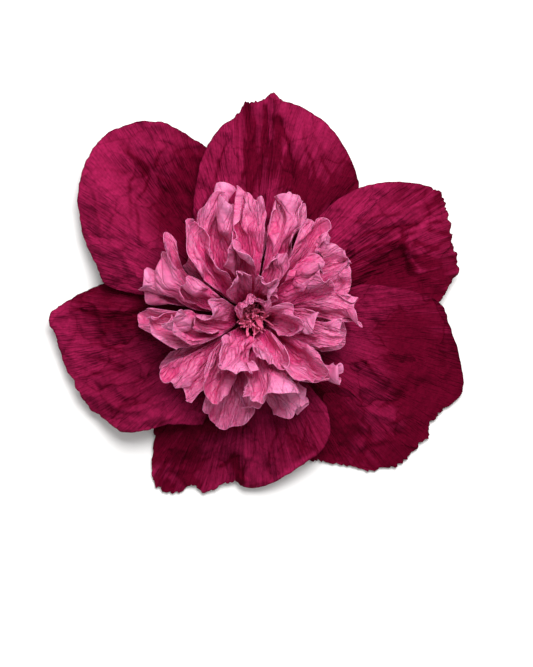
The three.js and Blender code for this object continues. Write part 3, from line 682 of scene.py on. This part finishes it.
def rolled_strip(across, along):
    """The strip of the heart, rolled up from its core."""
    turn = 2 * np.pi * HEART_TURNS * (across + 1) / 2
    radius = lerp(HEART_CORE, HEART_RADIUS - GLUE_GAP, (across + 1) / 2)
    top = seat_height + HEART_HEIGHT + 0.5 * paper_noise(10 * across, 0.5, 7)
    height = lerp(seat_height, top, along)
    place = np.stack([radius * np.cos(turn), radius * np.sin(turn), height], axis=-1)
    still = np.zeros_like(along)
    return place, radius * turn, height, (1 - along) * HEART_HEIGHT, still, still


def filament_surface(k, share, wide):
    """The middle of finger k of the fringe, where share is how far out from the core it stands."""
    azimuth = FILAMENT_TURN * k
    hood_azimuth = math.radians(PINK_RINGS[-1][1][0][0])
    out = HEART_RADIUS * FRINGE_SPREAD * math.sqrt(share)
    hooded = math.cos((azimuth - hood_azimuth) / 2) ** 2
    length = (FILAMENT_LENGTH + 2.5 * math.sin(2.9 * k) - 1.5 * share) * (1 - 0.5 * hooded)

    def surface(across, along):
        lean = math.radians(2 + 34 * share * (1 - hooded) - 10 * hooded) * along
        lean = lean + 0.2 * np.sin(3 * along + 1.3 * k) * along
        reach = out + length * along * np.sin(lean)
        swing = 1.2 * along * np.sin(3.2 * along + 2.1 * k)
        turn = 1.5 * along * math.sin(1.1 * k) + 0.7 * k
        half = wide / 2 * across * lerp(1, 0.5, along * along) * (1 + 0.3 * np.sin(9 * along + k))
        curl = 0.35 * (1 - across * across) * along
        height = seat_height + HEART_HEIGHT - FRINGE_ROOT + length * along * np.cos(lean)
        place = np.stack([
            reach + half * np.sin(turn) + curl, swing + half * np.cos(turn), height], axis=-1)
        cos, sin = math.cos(azimuth), math.sin(azimuth)
        place = place @ np.array([[cos, sin, 0], [-sin, cos, 0], [0, 0, 1]])
        rim = np.minimum((1 - np.abs(across)) * wide / 2, (1 - along) * length)
        still = np.zeros_like(along)
        return place, half, length * along + 13 * k, rim, still, still

    return surface


def stamen_tone(brightness):
    """How pale the dye of the strip or of one of its fingers is: an even foot, paler towards the tip."""

    def tone(along, u, v, lift, crumpled):
        return 0.3 + brightness * along

    return tone


def uncrumpled(across, along, u, v):
    """The paper of the heart, which was cut and rolled but not crumpled."""
    return np.zeros_like(along)


def sheet_of_paper(name, surface, grid, crumple, thickness, material, tone):
    """One sheet: a flat grid bent to its surface, crumpled, given the paper's thickness and its marks."""
    bpy.ops.object.select_all(action="DESELECT")
    bpy.ops.mesh.primitive_grid_add(x_subdivisions=grid[0], y_subdivisions=grid[1], size=2)
    petal = bpy.context.object
    petal.name = petal.data.name = name
    flat = np.empty(len(petal.data.vertices) * 3)
    petal.data.vertices.foreach_get("co", flat)
    flat = flat.reshape(-1, 3)
    across, along = -flat[:, 0], (flat[:, 1] + 1) / 2
    place, u, v, rim, room, lift = surface(across, along)
    step = SLOPE_STEP
    sideways = surface(across - step, along)[0] - surface(across + step, along)[0]
    outwards = surface(across, along + step)[0] - surface(across, along - step)[0]
    normal = np.cross(sideways, outwards)
    normal /= np.linalg.norm(normal, axis=1)[:, None]
    crumpled = room * crumple(across, along, u, v)
    place = place + normal * crumpled[:, None]
    petal.data.vertices.foreach_set("co", (place * MM).ravel())
    petal.data.attributes.new("rim", "FLOAT", "POINT").data.foreach_set("value", rim)
    petal.data.attributes.new("tone", "FLOAT", "POINT").data.foreach_set(
        "value", tone(along, u, v, lift, crumpled))
    corners = np.empty(len(petal.data.loops), int)
    petal.data.loops.foreach_get("vertex_index", corners)
    petal.data.uv_layers[0].data.foreach_set("uv", np.stack([u, v], axis=1)[corners].ravel())
    petal.data.update()
    solidify = petal.modifiers.new("Paper thickness", "SOLIDIFY")
    solidify.thickness = thickness
    solidify.offset = 0
    bpy.ops.object.modifier_apply(modifier=solidify.name)
    bpy.ops.object.shade_smooth_by_angle(angle=math.radians(60))
    petal.data.materials.append(material)
    return petal


def settle(piece, slot, *nodes):
    """Lets a finished piece stand for its solids and ride with the flower."""
    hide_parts(*nodes)
    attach(piece, "root")


def set_inputs(tree, node, inputs):
    """Gives a node its inputs: a value, a socket to link, or a node whose first output is linked."""
    for key, value in inputs.items():
        if isinstance(value, bpy.types.Node):
            value = value.outputs[0]
        if isinstance(value, bpy.types.NodeSocket):
            tree.links.new(value, node.inputs[key])
        else:
            node.inputs[key].default_value = value


def add_node(tree, kind, inputs=None, **settings):
    """Adds a shader node with its settings and its inputs."""
    node = tree.nodes.new("ShaderNode" + kind)
    for key, value in settings.items():
        setattr(node, key, value)
    set_inputs(tree, node, inputs or {})
    return node


def new_material(name):
    """An empty material, its node tree and its shader."""
    material = bpy.data.materials.new(name)
    material.use_nodes = True
    return material, material.node_tree, material.node_tree.nodes["Principled BSDF"]


def crinkled_paper(
        name, deep, pale, rim_colour, vein_width, vein_length, vein_turn, vein_depth, vein_height,
        facet_size, facet_tilt, rim_width, finish):
    """Dyed handmade paper that was crushed and opened: flat facets, each with its own painted brightness as
    if it caught the light at its own angle, a painted shade line in the sharp crease between them, fine
    raised fibres, clouds of deep and pale dye, and a rim that takes the dye differently. The tone attribute
    brings the dye and the painted light and shade of each sheet. Lengths are in millimetres of the piece's
    own UV map, and finish is what the shader takes as it is."""
    material, tree, shader = new_material(name)
    paper = add_node(tree, "UVMap")
    lines = []
    for width, turn in ((vein_width, vein_turn), (vein_width * 1.3, -vein_turn)):
        stretched = add_node(tree, "Mapping", {
            "Vector": paper, "Scale": (width, vein_length, 1),
            "Rotation": (0, 0, math.radians(turn))}, vector_type="TEXTURE")
        noise = add_node(tree, "TexNoise", {
            "Vector": stretched, "Scale": 0.5, "Detail": 2, "Roughness": 0.5,
            "Distortion": 0.3})
        middle = add_node(tree, "Math", {0: noise, 1: 0.5}, operation="SUBTRACT")
        apart = add_node(tree, "Math", {0: middle}, operation="ABSOLUTE")
        lines.append(add_node(tree, "MapRange", {
            "Value": apart, "From Min": 0, "From Max": 0.1}, interpolation_type="SMOOTHSTEP"))
    fibres = add_node(tree, "Math", {0: lines[0], 1: lines[1]}, operation="ADD")
    sway = add_node(tree, "TexNoise", {"Vector": paper, "Scale": 1 / SWAY_SIZE, "Detail": 2})
    swayed = add_node(tree, "VectorMath", {
        0: sway.outputs["Color"], 1: (facet_size, facet_size, 0), 2: paper}, operation="MULTIPLY_ADD")
    flat = add_node(tree, "VectorMath", {0: swayed, 1: (1, 0.6, 0)}, operation="MULTIPLY")
    facets = add_node(tree, "TexVoronoi", {"Vector": flat, "Scale": 1 / facet_size})
    creases = add_node(tree, "TexVoronoi", {
        "Vector": flat, "Scale": 1 / facet_size}, feature="DISTANCE_TO_EDGE")
    # Painted shade: a thin dark line along the creases between the facets
    crease = add_node(tree, "MapRange", {
        "Value": creases, "From Min": 0, "From Max": CREASE_WIDTH / facet_size,
        "To Min": -0.25 * facet_tilt, "To Max": 0}, interpolation_type="SMOOTHSTEP")
    inside = add_node(tree, "VectorMath", {0: flat, 1: facets.outputs["Position"]}, operation="SUBTRACT")
    lean = add_node(tree, "VectorMath", {
        0: facets.outputs["Color"], 1: (0.5, 0.5, 0.5)}, operation="SUBTRACT")
    slope = add_node(tree, "VectorMath", {0: inside, 1: lean}, operation="DOT_PRODUCT")
    raised = add_node(tree, "Math", {0: slope.outputs["Value"], 1: facet_tilt}, operation="MULTIPLY")
    heights = add_node(tree, "Math", {0: fibres, 1: vein_height, 2: raised}, operation="MULTIPLY_ADD")
    clouds = add_node(tree, "TexNoise", {
        "Vector": paper, "Scale": 1 / CLOUD_SIZE, "Detail": 2, "Roughness": 0.6})
    tone = add_node(tree, "Attribute", attribute_name="tone")
    clouded = add_node(tree, "Math", {
        0: clouds, 1: 0.5, 2: tone.outputs["Fac"]}, operation="MULTIPLY_ADD")
    # Painted light and shade on the facets: each gets its own brightness, as if it caught the light at its
    # own angle
    facet_shading = add_node(tree, "Math", {
        0: facets.outputs["Color"], 1: facet_tilt / 4, 2: clouded}, operation="MULTIPLY_ADD")
    creased = add_node(tree, "Math", {0: facet_shading, 1: crease}, operation="ADD")
    # The dye together with the painted light and shade picks between the deep and the pale colour
    dye = add_node(tree, "Math", {0: fibres, 1: vein_depth, 2: creased}, operation="MULTIPLY_ADD")
    paleness = add_node(tree, "MapRange", {
        "Value": dye, "From Min": 2 * vein_depth, "From Max": 1.6 + 2 * vein_depth})
    dyed = add_node(tree, "Mix", {0: paleness, 6: (*deep, 1), 7: (*pale, 1)}, data_type="RGBA")
    grain = add_node(tree, "TexNoise", {"Vector": paper, "Scale": 1 / GRAIN_SIZE, "Detail": 2})
    light = add_node(tree, "MapRange", {
        "Value": grain, "From Min": 0.25, "From Max": 0.75, "To Min": 0.8, "To Max": 1.2})
    toned = add_node(tree, "VectorMath", {0: dyed.outputs[2], "Scale": light}, operation="SCALE")
    rim = add_node(tree, "Attribute", attribute_name="rim")
    wear_and_highlight = add_node(tree, "MapRange", {
        "Value": rim.outputs["Fac"], "From Min": 0.0, "From Max": rim_width, "To Min": 0.6, "To Max": 0.0})
    rimmed = add_node(tree, "Mix", {0: wear_and_highlight, 6: toned, 7: (*rim_colour, 1)}, data_type="RGBA")
    bump = add_node(tree, "Bump", {"Height": heights, "Strength": 1, "Distance": MM})
    set_inputs(tree, shader, {"Base Color": rimmed.outputs[2], "Normal": bump, **finish})
    return material


class CAMELLIA_OT_backing_disc(bpy.types.Operator):
    """Adds the card disc that all the petals are glued to"""

    bl_idname = "camellia.backing_disc"
    bl_label = "Backing disc"

    def execute(self, context):
        bpy.ops.object.select_all(action="DESELECT")
        bpy.ops.mesh.primitive_cylinder_add(
            vertices=96, radius=DISC_RADIUS * MM, depth=DISC_THICKNESS * MM,
            location=(0, 0, DISC_THICKNESS / 2 * MM))
        disc = bpy.context.object
        disc.name = disc.data.name = "backing_card_disc"
        bpy.ops.object.transform_apply(location=True, rotation=True, scale=True)
        bevel = disc.modifiers.new("Pressed edge", "BEVEL")
        bevel.width, bevel.segments, bevel.limit_method = 0.25 * MM, 3, "ANGLE"
        bpy.ops.object.modifier_apply(modifier=bevel.name)
        bpy.ops.object.shade_smooth_by_angle(angle=math.radians(40))
        disc.data.materials.append(backing_card(context.scene.camellia_colours.card))
        settle(disc, "backing_card", "backing_disc")
        return {"FINISHED"}


def backing_card(colour):
    """Pressed grey-board dyed to match: a dull surface with fine specks of pulp."""
    material, tree, shader = new_material("Pressed card")
    place = add_node(tree, "TexCoord")
    # Pulp specks of 0.4 mm, drawn at 0.8 mm so that they show
    specks = add_node(tree, "TexNoise", {
        "Vector": place.outputs["Object"], "Scale": 1 / (0.8 * MM), "Detail": 3})
    ramp = add_node(tree, "MapRange", {
        "Value": specks, "From Min": 0.3, "From Max": 0.7, "To Min": 0.75, "To Max": 1.2})
    toned = add_node(tree, "VectorMath", {0: tuple(colour), "Scale": ramp}, operation="SCALE")
    bump = add_node(tree, "Bump", {"Height": specks, "Strength": 0.6, "Distance": 0.1 * MM})
    set_inputs(tree, shader, {"Base Color": toned, "Normal": bump, "Roughness": 0.9})
    return material


class CAMELLIA_OT_crimson_petals(bpy.types.Operator):
    """Adds the six broad crimson petals that lap round the disc"""

    bl_idname = "camellia.crimson_petals"
    bl_label = "Crimson petals"

    def execute(self, context):
        sizes, colours = context.scene.camellia_sizes, context.scene.camellia_colours
        base = np.array(colours.crimson)
        # Heavy mulberry paper, dyed through: the eye gets a dull, deep red, with painted shade in the
        # creases and painted light and shade on its facets, and fibres that run out to the rim. Its crinkle
        # veins are drawn 0.6 mm wide
        material = crinkled_paper(
            "Crimson mulberry paper", base * (0.45, 0.15, 0.3), base * (1.4, 2.2, 1.6), base * 0.3,
            vein_width=0.6, vein_length=14, vein_turn=5, vein_depth=0.14, vein_height=0.15, facet_size=11,
            facet_tilt=1.2, rim_width=0.7, finish={"Roughness": 0.8, "Specular IOR Level": 0.02})
        grid = CRIMSON_GRID
        for i, petal in enumerate(CRIMSON_PETALS):
            creases = CRIMSON_CREASES[i] + crushed_creases(petal[0], i)
            sheet = sheet_of_paper(
                f"crimson_paper_petal_{i + 1}", crimson_surface(petal, creases, CRIMSON_TEARS[i], i), grid,
                crimson_crumple(i, sizes.crinkle / MM), sizes.paper, material, crimson_tone(i))
            settle(sheet, "crimson_paper", f"crimson_petal_{i + 1}")
        return {"FINISHED"}


class CAMELLIA_OT_pink_petals(bpy.types.Operator):
    """Adds the four rings of crumpled pink petals and the hood over the stamens"""

    bl_idname = "camellia.pink_petals"
    bl_label = "Pink petals"

    def execute(self, context):
        sizes, colours = context.scene.camellia_sizes, context.scene.camellia_colours
        base = np.array(colours.pink)
        deep = base * (1.02, 0.34, 0.66)
        pale = np.minimum(1, base * 1.2 + (0, 0.135, 0.15))
        # Thin mulberry paper: the eye gets a soft sheen on the folds, a little light through the sheet and
        # a pale rim where the dye ran thin. Crinkle veins of about 0.5 mm are drawn at 0.7 mm so that they
        # show
        material = crinkled_paper(
            "Pink mulberry paper", deep, pale, (deep + 2 * pale) / 3,
            vein_width=0.7, vein_length=7, vein_turn=8, vein_depth=0.2, vein_height=0.32, facet_size=6,
            facet_tilt=0.6, rim_width=0.4, finish={
                "Roughness": 0.5, "Specular IOR Level": 0.35, "Subsurface Weight": 0.25,
                "Subsurface Radius": (1.0, 0.15, 0.35), "Subsurface Scale": 0.8 * MM})
        grid = PINK_GRID
        for ring, (name, petals) in enumerate(PINK_RINGS):
            for i in range(len(petals)):
                sheet = sheet_of_paper(
                    f"pink_paper_{name}_{i + 1}", pink_surface(petals, i, ring), grid,
                    pink_crumple(ring, i, sizes.rim_roll / MM), sizes.paper, material, pink_tone(ring, i))
                settle(sheet, "pink_paper", f"{name}_{i + 1}")
        return {"FINISHED"}


class CAMELLIA_OT_stamen_heart(bpy.types.Operator):
    """Adds the rolled strip whose fringe makes the stamens"""

    bl_idname = "camellia.stamen_heart"
    bl_label = "Stamen heart"

    def execute(self, context):
        sizes, colours = context.scene.camellia_sizes, context.scene.camellia_colours
        base = np.array(colours.stamen)
        # The same paper in a deeper dye: the eye gets dark red fingers with paler cut edges and tips
        material = crinkled_paper(
            "Deep pink mulberry paper", base * (0.8, 0.22, 0.48), base * (1.4, 1.6, 1.55),
            np.minimum(1, base * (1.6, 2.3, 2.1)), vein_width=0.5, vein_length=4, vein_turn=9,
            vein_depth=0.2, vein_height=0.05, facet_size=4, facet_tilt=0.1, rim_width=0.3,
            finish={"Roughness": 0.6})
        pieces = [sheet_of_paper(
            "stamen_roll", rolled_strip, HEART_GRID, uncrumpled, sizes.paper, material, stamen_tone(0))]
        for k in range(sizes.filament_count):
            share = (k + 0.5) / sizes.filament_count
            broad = WIDE_FILAMENT if k % FILAMENTS_PER_WIDE == 0 else SLIM_FILAMENT
            pieces.append(sheet_of_paper(
                f"stamen_{k}", filament_surface(k, share, sizes.filament / MM * broad), FILAMENT_GRID,
                uncrumpled, sizes.paper, material, stamen_tone(0.9 + 0.7 * math.sin(2.3 * k))))
        bpy.ops.object.select_all(action="DESELECT")
        for piece in pieces:
            piece.select_set(True)
        bpy.context.view_layer.objects.active = pieces[0]
        bpy.ops.object.join()
        heart = bpy.context.object
        heart.name = heart.data.name = "stamen_fringe_roll"
        settle(heart, "stamen_paper", "stamen_heart")
        return {"FINISHED"}


class CAMELLIA_OT_stage(bpy.types.Operator):
    """Adds the pale table, the soft studio light and the camera above the flower"""

    bl_idname = "camellia.stage"
    bl_label = "Stage"

    def execute(self, context):
        scene = context.scene
        bpy.ops.object.select_all(action="DESELECT")
        bpy.ops.mesh.primitive_plane_add(size=TABLE_SIZE)
        table = bpy.context.object
        table.name = table.data.name = "table_top"
        table.data.materials.append(table_top(scene.camellia_colours.table))
        world = bpy.data.worlds.new("Soft room light")
        scene.world = world
        world.use_nodes = True
        background = world.node_tree.nodes["Background"]
        background.inputs["Color"].default_value = (1, 1, 1, 1)
        background.inputs["Strength"].default_value = ROOM_LIGHT
        bpy.ops.object.light_add(type="AREA", location=KEY_PLACE)
        key = bpy.context.object
        key.name = "key_light"
        key.data.size, key.data.energy = KEY_SIZE, KEY_POWER
        key.rotation_euler = (Vector((0, 0, 0)) - key.location).to_track_quat("-Z", "Y").to_euler()
        camera_data = bpy.data.cameras.new("photo_camera")
        camera = bpy.data.objects.new("photo_camera", camera_data)
        scene.collection.objects.link(camera)
        camera_data.sensor_width = CAMERA_SENSOR
        camera_data.lens = CAMERA_LENS
        camera.location = CAMERA_PLACE
        camera_data.clip_start, camera_data.clip_end = 0.01, 20
        scene.camera = camera
        scene.view_settings.view_transform = "Standard"
        return {"FINISHED"}


def table_top(colour):
    """A matt pale laminate: almost even, with the faintest clouding."""
    material, tree, shader = new_material("Pale matt laminate")
    place = add_node(tree, "TexCoord")
    clouds = add_node(tree, "TexNoise", {"Vector": place.outputs["Object"], "Scale": 4, "Detail": 2})
    ramp = add_node(tree, "MapRange", {"Value": clouds, "To Min": 0.99, "To Max": 1.01})
    toned = add_node(tree, "VectorMath", {0: tuple(colour), "Scale": ramp}, operation="SCALE")
    set_inputs(tree, shader, {"Base Color": toned, "Roughness": 0.9, "Specular IOR Level": 0.1})
    return material


PIECES = (
    CAMELLIA_OT_backing_disc,
    CAMELLIA_OT_crimson_petals,
    CAMELLIA_OT_pink_petals,
    CAMELLIA_OT_stamen_heart,
    CAMELLIA_OT_stage,
)


class CAMELLIA_PT_panel(bpy.types.Panel):
    """Lists the sizes, the colours and the pieces of the flower"""

    bl_idname = "CAMELLIA_PT_panel"
    bl_label = "Paper camellia"
    bl_space_type = "VIEW_3D"
    bl_region_type = "UI"
    bl_category = "Camellia"

    def draw(self, context):
        for group in (context.scene.camellia_sizes, context.scene.camellia_colours):
            for name in group.__annotations__:
                self.layout.prop(group, name)
        for piece in PIECES:
            self.layout.operator(piece.bl_idname)


CLASSES = (CamelliaSizes, CamelliaColours, *PIECES, CAMELLIA_PT_panel)


def register():
    for item in CLASSES:
        bpy.utils.register_class(item)
    bpy.types.Scene.camellia_sizes = bpy.props.PointerProperty(type=CamelliaSizes)
    bpy.types.Scene.camellia_colours = bpy.props.PointerProperty(type=CamelliaColours)


def unregister():
    del bpy.types.Scene.camellia_colours
    del bpy.types.Scene.camellia_sizes
    for item in reversed(CLASSES):
        bpy.utils.unregister_class(item)


def main():
    register()
    bpy.ops.camellia.stage()
    bpy.ops.camellia.backing_disc()
    bpy.ops.camellia.crimson_petals()
    bpy.ops.camellia.pink_petals()
    bpy.ops.camellia.stamen_heart()
    bpy.context.view_layer.update()


if __name__ == "__main__":
    main()
